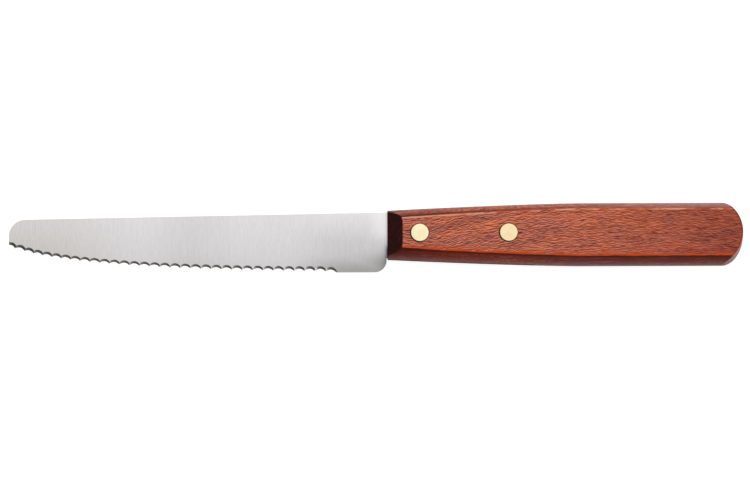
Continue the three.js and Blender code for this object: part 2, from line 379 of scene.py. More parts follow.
def in_a_row(given, thing):
    """Copies of a thing at the places of the rivets."""
    inputs = {"Count": given["Count"], "Start Location": given["First Place"], "Offset": given["Spacing"]}
    places = thing.node("GeometryNodeMeshLine", {}, inputs)
    copies = thing.node("GeometryNodeInstanceOnPoints", {}, {"Points": places, "Instance": thing})
    return thing.node("GeometryNodeRealizeInstances", {}, {"Geometry": copies})


ROW_INPUTS = {"Count": "Int", "First Place": "Vector", "Spacing": "Vector"}
ROW = {
    "Count": RIVET_COUNT,
    "First Place": DRAWING_ORIGIN + Vector((FRONT_RIVET_X, 0, 0)) * MM,
    "Spacing": Vector((RIVET_SPACING, 0, 0)) * MM,
}


def material(name):
    """A new material. Returns it, a field to start expressions from, and the shader's node."""
    made = bpy.data.materials.new(name)
    made.use_nodes = True
    shader = made.node_tree.nodes["Principled BSDF"]
    return made, Field(made.node_tree), shader


def drawing_place(start):
    """Where a point of a piece lies in the drawing, in millimetres, as a vector and as x, y and z."""
    spot = start.node("ShaderNodeTexCoord", {}, {}, "Object")
    offset = spot.node("ShaderNodeVectorMath", {"operation": "SUBTRACT"}, {0: spot, 1: DRAWING_ORIGIN})
    place = offset.node("ShaderNodeVectorMath", {"operation": "SCALE"}, {0: offset, "Scale": 1 / MM})
    axes = [place.node("ShaderNodeSeparateXYZ", {}, {0: place}, axis) for axis in "XYZ"]
    return place, axes


def feed(shader, values):
    """Sets a shader's sockets, by link where the value changes over the surface."""
    for name, value in values.items():
        if isinstance(value, Field):
            value.tree.links.new(value.socket, shader.inputs[name])
        else:
            shader.inputs[name].default_value = value


def relief(height, depth):
    """The normal of a surface with relief, from a height between 0 and 1 and a depth in millimetres."""
    return height.node("ShaderNodeBump", {}, {"Height": height, "Distance": depth * MM, "Strength": 1.0})


# Lines of the handle, for its shape and for its finish: x is a number or a field

def taper_left(x):
    """The share of the taper that is still to come at x."""
    left = 1 - x / TAPER_LENGTH
    return left.at_least(0.0) if isinstance(left, Field) else max(0.0, left)


def half_height(x):
    """Half of the handle's height, with its eased taper."""
    return REAR_HALF_HEIGHT - (REAR_HALF_HEIGHT - FRONT_HALF_HEIGHT) * taper_left(x) ** TAPER_EASE


def even_bulge(x):
    """How far the round side stands out past the arris."""
    return REAR_BULGE + (FRONT_BULGE - REAR_BULGE) * taper_left(x)


def arris_level(x):
    """How far from the centre line the flat meets the side."""
    return half_height(x) - even_bulge(x)


# Wood: a red-brown hardwood with fine short grain, worn along its arrises, dark on its sides and its ends

# Painted light on the wood: a highlight on the back's arris, a grey sheen at the back's rear, shade under the
# belly's arris and a grey reflection on the butt's end
WARM_DARK = colour(132, 43, 24)
WARM_LIGHT = colour(250, 133, 88)
COOL_DARK = colour(104, 40, 36)
COOL_LIGHT = colour(197, 112, 103)
EMBER = colour(198, 73, 18)
ARRIS_HIGHLIGHT = colour(244, 170, 138)
SIENNA = colour(150, 44, 16)
MAROON = colour(98, 26, 14)
REFLECTION_GREY = colour(104, 72, 64)
CHAR = colour(44, 10, 7)
SCORCH = colour(84, 24, 15)
FLECK = colour(250, 155, 122)
PORE = colour(88, 28, 22)
GREY_SHEEN = colour(185, 165, 165)

# Sizes of the wood's patterns along, across and through the handle
FIBRE_SIZE = (2, 0.13, 0.13)
STREAK_SIZE = (8, 0.2, 0.2)
CLOUD_SIZE = (13, 2.2, 2.2)
PORE_SIZE = (1.7, 0.26, 0.26)
WANDER_SIZE = (9, 3, 3)
RUB_SIZE = (3, 0.8, 0.8)
HIGHLIGHT_PATCH_SIZE = (5, 2, 2)
RAGGED_SIZE = (2.5, 2.5, 2.5)
SIDE_STREAK_SIZE = (10, 0.35, 0.35)
CREEP_SIZE = (5, 5, 5)
MOTTLE_SIZE = (0.7, 1.4, 0.7)

# The grain's run along the handle, its depth, and how far a pore's pale lip lies beside it
GRAIN_START_X = 11.0
GRAIN_RISE = 0.27
GRAIN_LEVEL_RUN = 58.0
GRAIN_WANDER = 1.6
REAR_STEADINESS = 0.5
GRAIN_DEPTH = 0.012
PORE_LIP = 0.2

# Shares and strengths of the grain's tones
FIBRE_SHARE = 0.55
STREAK_SHARE = 0.45
CLOUD_MEAN = 0.35
CLOUD_SHADE = 0.18
FRONT_COOLNESS = 0.03
BUTT_CALM = 0.45
BUTT_SHADE = 0.47
PORE_STRENGTH = 0.9
LIP_STRENGTH = 0.76
PORE_FADING = 0.6

# Wear of the arrises, and the painted highlight along the back's arris
RAGGEDNESS = 1.2
LINE_WEAR = 0.5
BELLY_LINE_WEAR = 0.4
BELLY_WEAR = 0.4
BACK_HIGHLIGHT = 0.85

# Stain of the back and the belly: where it begins, how strong it is, and what changes it along the handle,
# with the painted grey sheen at the back's rear and the painted shade line under the belly's arris
STAIN_CREEP = 0.5
FRONT_CREEP = 0.22
SIDE_STAIN = 0.42
STREAK_GAPS = 0.4
BELLY_STAIN = 0.65
BELLY_REAR_STAIN = 0.08
BELLY_FRONT_STAIN = 0.2
BELLY_CREST_LOSS = 0.2
BACK_FRONT_STAIN = 0.25
BACK_REAR_LOSS = 0.22
ARRIS_STAIN = 0.95
BACK_ARRIS_LOSS = 0.1
BACK_REAR_ARRIS_LOSS = 0.35
BACK_SHEEN = 0.25
BELLY_WARMTH = 0.3
FRONT_SCORCH = 0.3
BELLY_SCORCH = 0.5
# How dark the line under each arris is: on the belly it is painted shade
BELLY_LINE_SHADE = 0.45
BACK_DARK_LINE = 0.35

# The crowned end with its painted grey reflection, the wood around the rivets and the facets at the front
END_RIM = 0.7
END_REFLECTION = 0.85
END_CORNER_LOSS = 0.4
RING_SHIFT = 0.12
RING_OUTSIDE = SEAT_RADIUS + 0.14
RING_INSIDE = SEAT_RADIUS - 0.04
RING_STRENGTH = 0.9
FACET_ROUNDING = 0.6
FACET_SQUARENESS = 8.0
FACET_FLARE = 0.49


class HandleSpot:
    """Where a point of the handle lies, in the drawing and by the handle's own lines.

    inside is how far it is within the arrises, in millimetres. belly, back, on_flat and on_side are 1 on
    the part that they name and 0 off it.
    """

    def __init__(self, start):
        self.place, (self.x, self.y, self.z) = drawing_place(start)
        self.inside = arris_level(self.x) - abs(self.y)
        self.belly = self.y.rise(1.0, -1.0)
        self.back = 1 - self.belly
        self.on_flat = abs(self.z).rise(HALF_THICKNESS - 0.7, HALF_THICKNESS - 0.3)
        uneven = (self.place.noise(CREEP_SIZE, detail=3.0) - 0.5) * STAIN_CREEP
        creep = self.x.rise(20, 2) * FRONT_CREEP + uneven
        self.on_side = (self.inside - creep).rise(0.08, -0.08)


def straight_grain(spot):
    """The place with the grain's run taken out: level at the front, then it rises, levels out and falls."""
    run = (spot.x - GRAIN_START_X).at_least(0.0)
    lift = run * GRAIN_RISE - run * run * (GRAIN_RISE / GRAIN_LEVEL_RUN / 2)
    looseness = 1 - spot.x.rise(20, 60) * REAR_STEADINESS
    wander = (spot.place.noise(WANDER_SIZE) - 0.5) * looseness * GRAIN_WANDER
    axes = {"X": spot.x, "Y": spot.y - lift + wander, "Z": spot.z}
    return spot.place.node("ShaderNodeCombineXYZ", {}, axes)


def with_pores(spot, grain, tone):
    """Short dark pores, each with a pale lip beside it, fainter towards the butt."""
    beside = grain.node("ShaderNodeVectorMath", {"operation": "ADD"}, {0: grain, 1: (0, PORE_LIP, 0)})
    pores = beside.noise(PORE_SIZE, detail=1.0) - grain.noise(PORE_SIZE, detail=1.0)
    crispness = 1 - spot.x.rise(30, 105) * PORE_FADING
    tone = (pores.rise(0.02, 0.18) * crispness * PORE_STRENGTH).mixed(tone, PORE)
    return (pores.rise(-0.02, -0.18) * crispness * LIP_STRENGTH).mixed(tone, FLECK)


def grain_tone(spot):
    """The bare wood's tone and figure: light and dark fibres in warm and cool streaks, darker at the butt."""
    grain = straight_grain(spot)
    fibres = grain.noise(FIBRE_SIZE, detail=1.5, roughness=0.6)
    streaks = grain.noise(STREAK_SIZE, detail=3.0, roughness=0.6)
    clouds = grain.noise(CLOUD_SIZE, detail=3.0, roughness=0.6)
    towards_butt = spot.x.rise(40, 110)
    contrast = 1 - towards_butt * BUTT_CALM
    figure = ((fibres * FIBRE_SHARE + streaks * STREAK_SHARE).rise(0.39, 0.6) - 0.5) * contrast + 0.5
    figure = figure - (clouds.rise(0.48, 0.65) - CLOUD_MEAN) * CLOUD_SHADE - towards_butt * BUTT_SHADE
    cool = (streaks * 0.5 + clouds * 0.5 + spot.x.rise(45, 5) * FRONT_COOLNESS).rise(0.44, 0.63)
    tone = cool.mixed(figure.mixed(WARM_DARK, WARM_LIGHT), figure.mixed(COOL_DARK, COOL_LIGHT))
    return with_pores(spot, grain, tone), figure


def worn_arrises(spot, tone):
    """The arrises are rubbed to a warm tone, widest on the belly side, and the back's has a painted pale
    highlight line.
    """
    rubbed = spot.place.noise(RUB_SIZE, detail=3.0, roughness=0.6).rise(0.25, 0.55) * spot.on_flat
    highlight_patches = spot.place.noise(HIGHLIGHT_PATCH_SIZE, detail=3.0).rise(0.42, 0.58) * spot.on_flat
    ragged = spot.inside + (spot.place.noise(RAGGED_SIZE, detail=3.0, roughness=0.6) - 0.5) * RAGGEDNESS
    narrow = ragged.rise(0.75, 0.3) * (spot.belly * BELLY_LINE_WEAR + LINE_WEAR)
    wide = ragged.rise(2.2, 0.6) * spot.belly * BELLY_WEAR
    tone = ((narrow + wide) * rubbed).mixed(tone, EMBER)
    # A painted highlight in patches along the back's arris
    lit_line = spot.inside.rise(0.75, 0.45) * spot.inside.rise(0.05, 0.25)
    return (highlight_patches * spot.back * lit_line * BACK_HIGHLIGHT).mixed(tone, ARRIS_HIGHLIGHT)


def stain_strength(spot):
    """How dark the sides are: in long streaks, strong on the belly, and in a line along each arris."""
    x, inside = spot.x, spot.inside
    streaks = spot.place.noise(SIDE_STREAK_SIZE, detail=3.0, roughness=0.6).rise(0.35, 0.65)
    on_belly = x.rise(20, 60) * BELLY_REAR_STAIN + x.rise(6, 1) * BELLY_FRONT_STAIN + BELLY_STAIN
    on_back = x.rise(45, 4) * BACK_FRONT_STAIN - x.rise(50, 100) * BACK_REAR_LOSS
    stain = spot.belly * on_belly + SIDE_STAIN - streaks * STREAK_GAPS + spot.back * on_back
    stain = stain - spot.belly * inside.rise(-0.9, -2.2) * x.rise(15, 40) * BELLY_CREST_LOSS
    back_loss = x.rise(15, 60) * BACK_REAR_ARRIS_LOSS + BACK_ARRIS_LOSS
    arris_line = inside.rise(-0.9, -0.45) * (ARRIS_STAIN - spot.back * back_loss)
    return stain.at_least(arris_line)


def stained_sides(spot, tone):
    """The round sides: stained, with a painted grey sheen at the back's rear, warm and scorched at the
    belly's front, and a dark line under each arris that is painted shade on the belly.
    """
    x, inside = spot.x, spot.inside
    tone = (spot.on_side * stain_strength(spot)).mixed(tone, MAROON)
    # A painted grey sheen on the back's rear side
    tone = (spot.on_side * spot.back * x.rise(40, 100) * BACK_SHEEN).mixed(tone, GREY_SHEEN)
    tone = (spot.on_side * spot.belly * x.rise(60, 20) * BELLY_WARMTH).mixed(tone, SIENNA)
    scorched = x.rise(10, 2) * FRONT_SCORCH + x.rise(24, 4) * inside.rise(-2.6, -1.2) * BELLY_SCORCH
    tone = (spot.on_side * spot.belly * scorched).mixed(tone, SCORCH)
    # A dark line under each arris: on the belly it is painted shade
    dark_line = spot.belly * BELLY_LINE_SHADE + spot.back * x.rise(40, 5) * BACK_DARK_LINE
    return (spot.on_side * inside.rise(-0.5, -0.3) * dark_line).mixed(tone, CHAR)


def crowned_end(spot, tone):
    """The butt's end: a warm rim on the flats, and end grain between them painted grey, which stands for a
    reflection in it.
    """
    root = (CROWN_RADIUS**2 - spot.y * spot.y).at_least(0.0) ** 0.5
    past_crown = spot.x - CROWN_X - root
    tone = (past_crown.rise(-0.9, -0.2) * spot.on_flat * END_RIM).mixed(tone, SIENNA)
    end_grain = past_crown.rise(-0.3, -0.1) * (1 - spot.on_flat) * abs(spot.z).rise(4.2, 1.0)
    # The end grain is painted grey, which stands for the floor's reflection
    return (end_grain * (END_REFLECTION - spot.on_side * END_CORNER_LOSS)).mixed(tone, REFLECTION_GREY)


def rivet_rings(spot, tone):
    """A dark ring of wood around each rivet head, wider towards the tip and the edge."""
    rings = []
    for rivet_x in (FRONT_RIVET_X, REAR_RIVET_X):
        across = ((spot.x - rivet_x + RING_SHIFT) ** 2.0 + (spot.y + RING_SHIFT) ** 2.0) ** 0.5
        rings.append(across.rise(RING_OUTSIDE, RING_INSIDE))
    return (rings[0].at_least(rings[1]) * RING_STRENGTH).mixed(tone, CHAR)


def charred_front(spot, tone):
    """The sloped facets and the front end, where the fibres are cut across. Their corners are worn round."""
    above = abs(spot.z) - FRONT_THICKNESS / 2 - FACET_SLOPE * spot.x
    facet_edge = arris_level(spot.x) + (FACET_LENGTH - spot.x) * FACET_FLARE
    rounding = (abs(spot.y) / facet_edge) ** FACET_SQUARENESS * FACET_ROUNDING
    ahead = (spot.x + rounding).rise(FACET_LENGTH + 0.35, FACET_LENGTH + 0.1)
    facets = above.rise(-0.3, -0.06) * ahead
    mottle = spot.place.noise(MOTTLE_SIZE, detail=3.0, roughness=0.6).rise(0.5, 0.75)
    return facets.at_least(spot.x.rise(0.3, 0.1)).mixed(tone, mottle.mixed(CHAR, SCORCH))


def wood_finish():
    made, start, shader = material("oiled_red_wood")
    spot = HandleSpot(start)
    tone, figure = grain_tone(spot)
    for mark in (worn_arrises, stained_sides, crowned_end, rivet_rings, charred_front):
        tone = mark(spot, tone)
    feed(shader, {
        "Base Color": tone,
        "Roughness": 0.45 - figure * 0.05,
        "Specular IOR Level": 0.15,
        "Normal": relief(figure, GRAIN_DEPTH),
    })
    return made


# Steel: stainless, brushed across the blade, with a painted reflection paler towards the spine, and painted
# shade at the heel's corner and on the scallops' tip-facing halves

BRIGHT_STEEL = colour(230, 228, 229)
TIP_STEEL = colour(192, 187, 182)
DIM_STEEL = colour(189, 187, 188)
SHADED_STEEL = colour(136, 132, 130)
SHADE_STEEL = colour(66, 62, 60)
GROUND_STEEL = colour(222, 219, 212)
SHADED_GROUND_STEEL = colour(156, 152, 145)
GLINT = colour(255, 252, 250)

# Brushing: the size of its lines and hairs, how much they differ in tone, and their depth
BRUSH_LINE_SIZE = (0.5, 7, 7)
BRUSH_HAIR_SIZE = (0.28, 2, 2)
BRUSH_CONTRAST = 0.75
BRUSH_DEPTH = 0.004

# Painted reflection on the blade's face: its brightness from 0 for dim to 1 for bright, and its lift per
# millimetre of height
BASE_LIGHT = 0.32
REAR_LIGHT = 0.38
DIP_SHADE = 0.2
DIP_X = -57.0
DIP_REACH = 14.0
HEEL_SHADE = 0.3
EDGE_SHADE = 0.1
LEVEL_Y = -2.0
TIP_LIFT = 0.035
REAR_LIFT_LOSS = 0.015
HEEL_LIFT = 0.05

# Painted light at the heel: a glint, shade at the corner and the plain edge, and a shadow beside the handle
GLINT_STRENGTH = 0.45
CORNER_REACH = 5.5
CORNER_SHADE = 0.92
PLAIN_EDGE_SHADE = 0.55
SHADOW_REACH = 0.5


def face_light(x, y):
    """How bright the painted reflection makes the face: dim at the tip, with a dip in the middle, dimmer at
    the heel and the edge.
    """
    from_tip = x.rise(TIP_X + 6, TIP_X + 42)
    to_heel = x.rise(-32, -12)
    dip = (1 - abs(x - DIP_X) / DIP_REACH).at_least(0.0)
    light = from_tip * REAR_LIGHT - dip * DIP_SHADE - to_heel * HEEL_SHADE + BASE_LIGHT
    light = light - y.rise(EDGE_Y + 6.5, EDGE_Y + 1) * EDGE_SHADE
    height = y - LEVEL_Y
    lift = height * (TIP_LIFT - from_tip * REAR_LIFT_LOSS) + height.at_least(0.0) * to_heel * HEEL_LIFT
    return light + lift


def heel_marks(x, y, tone):
    """A painted glint under the spine, painted shade at the corner and the plain edge, and a painted shadow
    at the handle.
    """
    tone = (x.rise(-7, -1) * y.rise(-3.5, 2) * GLINT_STRENGTH).mixed(tone, GLINT)
    # Painted shade at the heel's corner and along the plain edge
    corner = (x / CORNER_REACH).exponential() * y.rise(EDGE_Y + 7.8, EDGE_Y + 2.2) * CORNER_SHADE
    plain_edge = x.rise(-30, -10) * y.rise(EDGE_Y + 5.5, EDGE_Y) * PLAIN_EDGE_SHADE
    tone = corner.at_least(plain_edge).mixed(tone, SHADED_STEEL)
    return ((x / SHADOW_REACH).exponential() * y.rise(-2, -4.5)).mixed(tone, SHADE_STEEL)


def steel_finish():
    made, start, shader = material("brushed_stainless")
    place, (x, y, _) = drawing_place(start)
    lines = place.noise(BRUSH_LINE_SIZE, detail=2.0, roughness=0.6)
    hairs = place.noise(BRUSH_HAIR_SIZE, detail=1.0)
    brushing = lines * 0.5 + hairs * 0.5
    dim = x.rise(TIP_X + 22, TIP_X + 34).mixed(TIP_STEEL, DIM_STEEL)
    # The face's tone is a painted reflection between dim and bright steel, with the brushing
    tone = (face_light(x, y) + (brushing - 0.5) * BRUSH_CONTRAST).mixed(dim, BRIGHT_STEEL)
    tone = heel_marks(x, y, tone)
    ground = start.node("ShaderNodeAttribute", {"attribute_name": "ground"}, {}, "Fac")
    far_side = start.node("ShaderNodeAttribute", {"attribute_name": "far_side"}, {}, "Fac")
    # The ground faces that look towards the tip get a painted shade
    tone = ground.mixed(tone, far_side.mixed(GROUND_STEEL, SHADED_GROUND_STEEL))
    feed(shader, {
        "Base Color": tone,
        "Metallic": 1.0,
        "Roughness": brushing * 0.12 + 0.24,
        "Normal": relief(brushing, BRUSH_DEPTH),
    })
    return made


# Brass: pale, flat-turned rivet heads with fine scratches, the rear one more tarnished

BRASS = colour(255, 242, 202)
TARNISH = colour(240, 206, 146)
TARNISH_SIZE = (1.6, 1.6, 1.6)
CLOUD_TARNISH = 0.25
SCRATCH_TARNISH = 0.15
REAR_TARNISH = 0.35
SCRATCH_SIZE = (2.4, 0.12, 0.12)
SCRATCH_DEPTH = 0.003


def brass_finish():
    made, start, shader = material("pale_brass")
    place, (x, _, _) = drawing_place(start)
    clouds = place.noise(TARNISH_SIZE, detail=3.0).rise(0.35, 0.7)
    scratches = place.noise(SCRATCH_SIZE, detail=2.0, distortion=1.0).rise(0.55, 0.7)
    tarnish = clouds * CLOUD_TARNISH + scratches * SCRATCH_TARNISH + x.rise(15, 30) * REAR_TARNISH
    feed(shader, {
        "Base Color": tarnish.mixed(BRASS, TARNISH),
        "Metallic": 1.0,
        "Roughness": scratches * 0.1 + 0.26,
        "Normal": relief(scratches, SCRATCH_DEPTH),
    })
    return made


# Handle: a loft of sections with round back and belly between two flats, and a crowned butt

def side_bulge(x, side):
    """How far the side stands out past the arris, with the waver of a hand at the sander."""
    fine_waver = FINE_WAVER_SHARE * math.sin(FINE_WAVER_TURN * x + 2 * side)
    waver = math.sin(WAVER_TURN * x + side) + fine_waver
    return even_bulge(x) + HAND_WAVER * waver


def side_arc(x, side):
    """Points (y, z) on one side of the section, from its crest in the mid-plane up to the arris."""
    bulge = side_bulge(x, side)
    radius = (HALF_THICKNESS**2 + bulge**2) / (2 * bulge)
    flat_level = min(HALF_THICKNESS, FRONT_THICKNESS / 2 + FACET_SLOPE * x)
    points = arc((half_height(x) - radius, 0), radius, 0, math.asin(flat_level / radius), SIDE_STEPS)
    return [(side * across, up) for across, up in points]


def upper_section(x):
    """The upper half of the handle's section, from the belly's crest over the flat to the back's crest."""
    belly = side_arc(x, -1)
    back = side_arc(x, 1)
    (low, level), (high, _) = belly[-1], back[-1]
    flat = [(low + (high - low) * step / FLAT_STEPS, level) for step in range(1, FLAT_STEPS)]
    return belly + flat + back[::-1]


def handle_stations():
    """Where the sections lie: along the front facets, the taper and the level rear."""
    taper = TAPER_LENGTH - FACET_LENGTH
    rear = HANDLE_LENGTH - BUTT_CROWN - CUT_MARGIN - TAPER_LENGTH
    stations = [FACET_LENGTH * step / FACET_STATIONS for step in range(FACET_STATIONS)]
    stations += [FACET_LENGTH + taper * step / TAPER_STATIONS for step in range(TAPER_STATIONS)]
    return stations + [TAPER_LENGTH + rear * step / REAR_STATIONS for step in range(REAR_STATIONS + 1)]


def handle_blank():
    """The handle before it is bored and sawn. Its last section is bent along the crowned end."""
    stations = handle_stations()
    rings = [[(x, y, z) for y, z in upper_section(x)] for x in stations]
    last_section = upper_section(stations[-1])
    rings.append([(CROWN_X + math.sqrt(CROWN_RADIUS**2 - y * y), y, z) for y, z in last_section])
    count = len(rings[0])
    corners = []
    for ring in rings:
        corners += ring + [(x, y, -z) for x, y, z in ring]
    faces = []
    for ring in range(len(rings) - 1):
        here = 2 * count * ring
        beyond = here + 2 * count
        for half in (0, count):
            for i in range(half, half + count - 1):
                faces.append((here + i, here + i + 1, beyond + i + 1, beyond + i))
    for first in (0, 2 * count * (len(rings) - 1)):
        for i in range(first, first + count - 1):
            faces.append((i, i + 1, count + i + 1, count + i))
    return new_object("handle_piece", corners, faces)


def rivet_hole():
    hole = SLEEVE_RADIUS + SLEEVE_CLEARANCE
    past = HALF_THICKNESS + CUT_MARGIN
    return turned("rivet_hole", [
        (0, -past),
        (SEAT_RADIUS, -past),
        (SEAT_RADIUS, -HEAD_SEAT),
        (hole, -HEAD_SEAT),
        (hole, HEAD_SEAT),
        (SEAT_RADIUS, HEAD_SEAT),
        (SEAT_RADIUS, past),
        (0, past),
    ])


def kerf():
    """The saw's cut, with the saw's own round at its end."""
    reach = REAR_HALF_HEIGHT + CUT_MARGIN
    end_angle = math.asin(reach / SAW_RADIUS)
    saw_x = TANG_LENGTH + KERF_END_GAP - SAW_RADIUS
    outline = [(-CUT_MARGIN, -reach)]
    outline += arc((saw_x, 0), SAW_RADIUS, -end_angle, end_angle)
    outline.append((-CUT_MARGIN, reach))
    return plate("kerf", outline, lambda x, y: SPINE_THICKNESS / 2 + KERF_CLEARANCE)


def bored_handle(hole, finish):
    inputs = {**ROW_INPUTS, "Hole": "Object", "Kerf": "Object", "Finish": "Material"}
    tree, given = geometry_tree("bore and saw the handle", inputs)
    body = given["Geometry"]
    cutters = [in_a_row(given, shape_of(body, given["Hole"])), shape_of(body, given["Kerf"])]
    end_tree(cut_from(body, cutters), given["Finish"])
    saw_cut = kerf()
    piece = softened(handle_blank(), ARRIS_RADIUS, ARRIS_ANGLE)
    grown(piece, tree, {**ROW, "Hole": hole, "Kerf": saw_cut, "Finish": finish})
    bpy.data.objects.remove(saw_cut)
    return shaded(piece, HARD_EDGE)


# Blade: a taper-ground blank with its tang, its edge ground into scallops by a slanted round wheel

def spine_y(x):
    return SPINE_ROOT_Y + x * math.tan(SPINE_ANGLE)


def edge_controls():
    """The four control points of the edge's curve, from the plain heel to the tip."""
    tip_y = spine_y(TIP_X) - TIP_HEIGHT
    return [
        Vector((-PLAIN_HEEL_LENGTH, EDGE_Y, 0)),
        Vector((-PLAIN_HEEL_LENGTH - BELLY_REACH, EDGE_Y, 0)),
        Vector((TIP_X + NOSE_REACH * math.cos(NOSE_ANGLE), tip_y - NOSE_REACH * math.sin(NOSE_ANGLE), 0)),
        Vector((TIP_X, tip_y, 0)),
    ]


def edge_points():
    a, b, c, d = edge_controls()
    points = []
    for step in range(EDGE_STEPS + 1):
        t = step / EDGE_STEPS
        points.append(a * (1 - t) ** 3 + b * 3 * t * (1 - t) ** 2 + c * 3 * t * t * (1 - t) + d * t**3)
    return points


def blade_half_thickness(x, y):
    """A flat face that falls from the spine to the edge and from the heel to the tip."""
    fall_per_height = (SPINE_THICKNESS - EDGE_THICKNESS) / 2 / HEEL_HEIGHT
    spine_fall = SPINE_ROOT_Y - spine_y(TIP_X)
    fall_per_length = ((SPINE_THICKNESS - TIP_THICKNESS) / 2 - fall_per_height * spine_fall) / BLADE_LENGTH
    return SPINE_THICKNESS / 2 - fall_per_height * (SPINE_ROOT_Y - y) + fall_per_length * x


def blade_blank():
    corner = (HEEL_X - HEEL_CORNER_RADIUS, EDGE_Y + HEEL_CORNER_RADIUS)
    tip_round_x = TIP_X + TIP_RADIUS
    tip_round = (tip_round_x, spine_y(tip_round_x) - TIP_RADIUS / math.cos(SPINE_ANGLE))
    outline = [(HEEL_X, spine_y(HEEL_X))]
    outline += arc(corner, HEEL_CORNER_RADIUS, 0, -math.pi / 2)
    outline += [(point.x, point.y) for point in edge_points()]
    outline += arc(tip_round, TIP_RADIUS, math.pi, math.pi / 2 + SPINE_ANGLE)
    return plate("blade_piece", outline, blade_half_thickness)


def tang():
    root_x = HEEL_X - SHOULDER_LENGTH
    end_half = half_height(TANG_LENGTH) - TANG_RECESS
    upper = [(root_x, spine_y(root_x)), (0, SPINE_ROOT_Y), (TANG_LENGTH - TANG_CORNER, end_half)]
    upper += arc((TANG_LENGTH - TANG_CORNER, end_half - TANG_CORNER), TANG_CORNER, math.pi / 2, 0)[1:]
    outline = upper + [(x, -y) for x, y in reversed(upper)]
    return plate("tang", outline, lambda x, y: SPINE_THICKNESS / 2)


def grinding_wheel():
    """One slanted wheel beside the edge, which runs along +X here and has the blade behind it on -Y."""
    reach = SCALLOP_RADIUS * math.tan(GRIND_ANGLE) + SPINE_THICKNESS / math.cos(GRIND_ANGLE) + CUT_MARGIN
    wheel = turned("grinding_wheel", [
        (0, -reach),
        (SCALLOP_RADIUS, -reach),
        (SCALLOP_RADIUS, reach),
        (0, reach),
    ])
    centre = Vector((0, SCALLOP_RADIUS / math.cos(GRIND_ANGLE), -EDGE_THICKNESS / 2)) * MM
    wheel.data.transform(Matrix.Translation(centre) @ Matrix.Rotation(GRIND_ANGLE, 4, "X"))
    return wheel


def scallop_places():
    """One point per scallop, with its share of the edge's length and its depth."""
    points = edge_points()
    edge_length = sum((b - a).length for a, b in zip(points, points[1:]))
    depth_share = RUN_OUT_DEPTH * math.cos(GRIND_ANGLE) / SCALLOP_RADIUS
    travelled = SCALLOP_RADIUS * math.sqrt(1 - (1 - depth_share) ** 2)
    shares = []
    while travelled < edge_length:
        shares.append(travelled / edge_length)
        travelled += SCALLOP_PITCH + (TIP_PITCH - SCALLOP_PITCH) * shares[-1] ** PITCH_EASE
    depths = [RUN_OUT_DEPTH * MM] + [SCALLOP_DEPTH * MM] * (len(shares) - 2) + [LAST_DEPTH * MM]
    mesh = bpy.data.meshes.new("scallop_places")
    mesh.from_pydata([(share, 0, 0) for share in shares], [], [])
    for name, values in {"share": shares, "depth": depths}.items():
        mesh.attributes.new(name, "FLOAT", "POINT").data.foreach_set("value", values)
    places = bpy.data.objects.new("scallop_places", mesh)
    bpy.context.scene.collection.objects.link(places)
    return places


def wheels_along_edge(given):
    """The grinding wheel at each scallop's place, turned to the edge's direction there."""
    start = given["Geometry"]
    inputs = {name: given[name] for name in ("Start", "Start Handle", "End Handle", "End")}
    edge = start.node("GeometryNodeCurvePrimitiveBezierSegment", {}, {"Resolution": EDGE_STEPS, **inputs})
    share = start.node("GeometryNodeInputNamedAttribute", {}, {"Name": "share"})
    depth = start.node("GeometryNodeInputNamedAttribute", {}, {"Name": "depth"})
    sampling = {"Curves": edge, "Factor": share}
    spot = start.node("GeometryNodeSampleCurve", {"mode": "FACTOR"}, sampling, "Position")
    along = Field(start.tree, spot.socket.node.outputs["Tangent"])
    out = start.node("ShaderNodeVectorMath", {"operation": "CROSS_PRODUCT"}, {0: (0, 0, 1), 1: along})
    sunk = start.node("ShaderNodeVectorMath", {"operation": "SCALE"}, {0: out, "Scale": 0 - depth})
    spot = start.node("ShaderNodeVectorMath", {"operation": "ADD"}, {0: spot, 1: sunk})
    places = shape_of(start, given["Places"])
    places = start.node("GeometryNodeSetPosition", {}, {"Geometry": places, "Position": spot})
    about = {"axis": "X", "pivot_axis": "Z"}
    turn = start.node("FunctionNodeAlignRotationToVector", about, {"Vector": along})
    inputs = {"Points": places, "Instance": shape_of(start, given["Wheel"]), "Rotation": turn}
    wheels = start.node("GeometryNodeInstanceOnPoints", {}, inputs)
    return start.node("GeometryNodeRealizeInstances", {}, {"Geometry": wheels})


def mark_ground_faces(piece):
    """Notes on each face whether the wheel made it, and how far it looks towards the tip, which sets its
    painted shade.
    """
    normals = [face.normal for face in piece.data.polygons]
    ground = [float(GROUND_LEAST_Z < n.z < GROUND_MOST_Z and n.y < GROUND_MOST_Y) for n in normals]
    far_side = [min(1.0, max(0.0, 0.5 - SCALLOP_SHADING * n.x)) for n in normals]
    for name, values in {"ground": ground, "far_side": far_side}.items():
        piece.data.attributes.new(name, "FLOAT", "FACE").data.foreach_set("value", values)


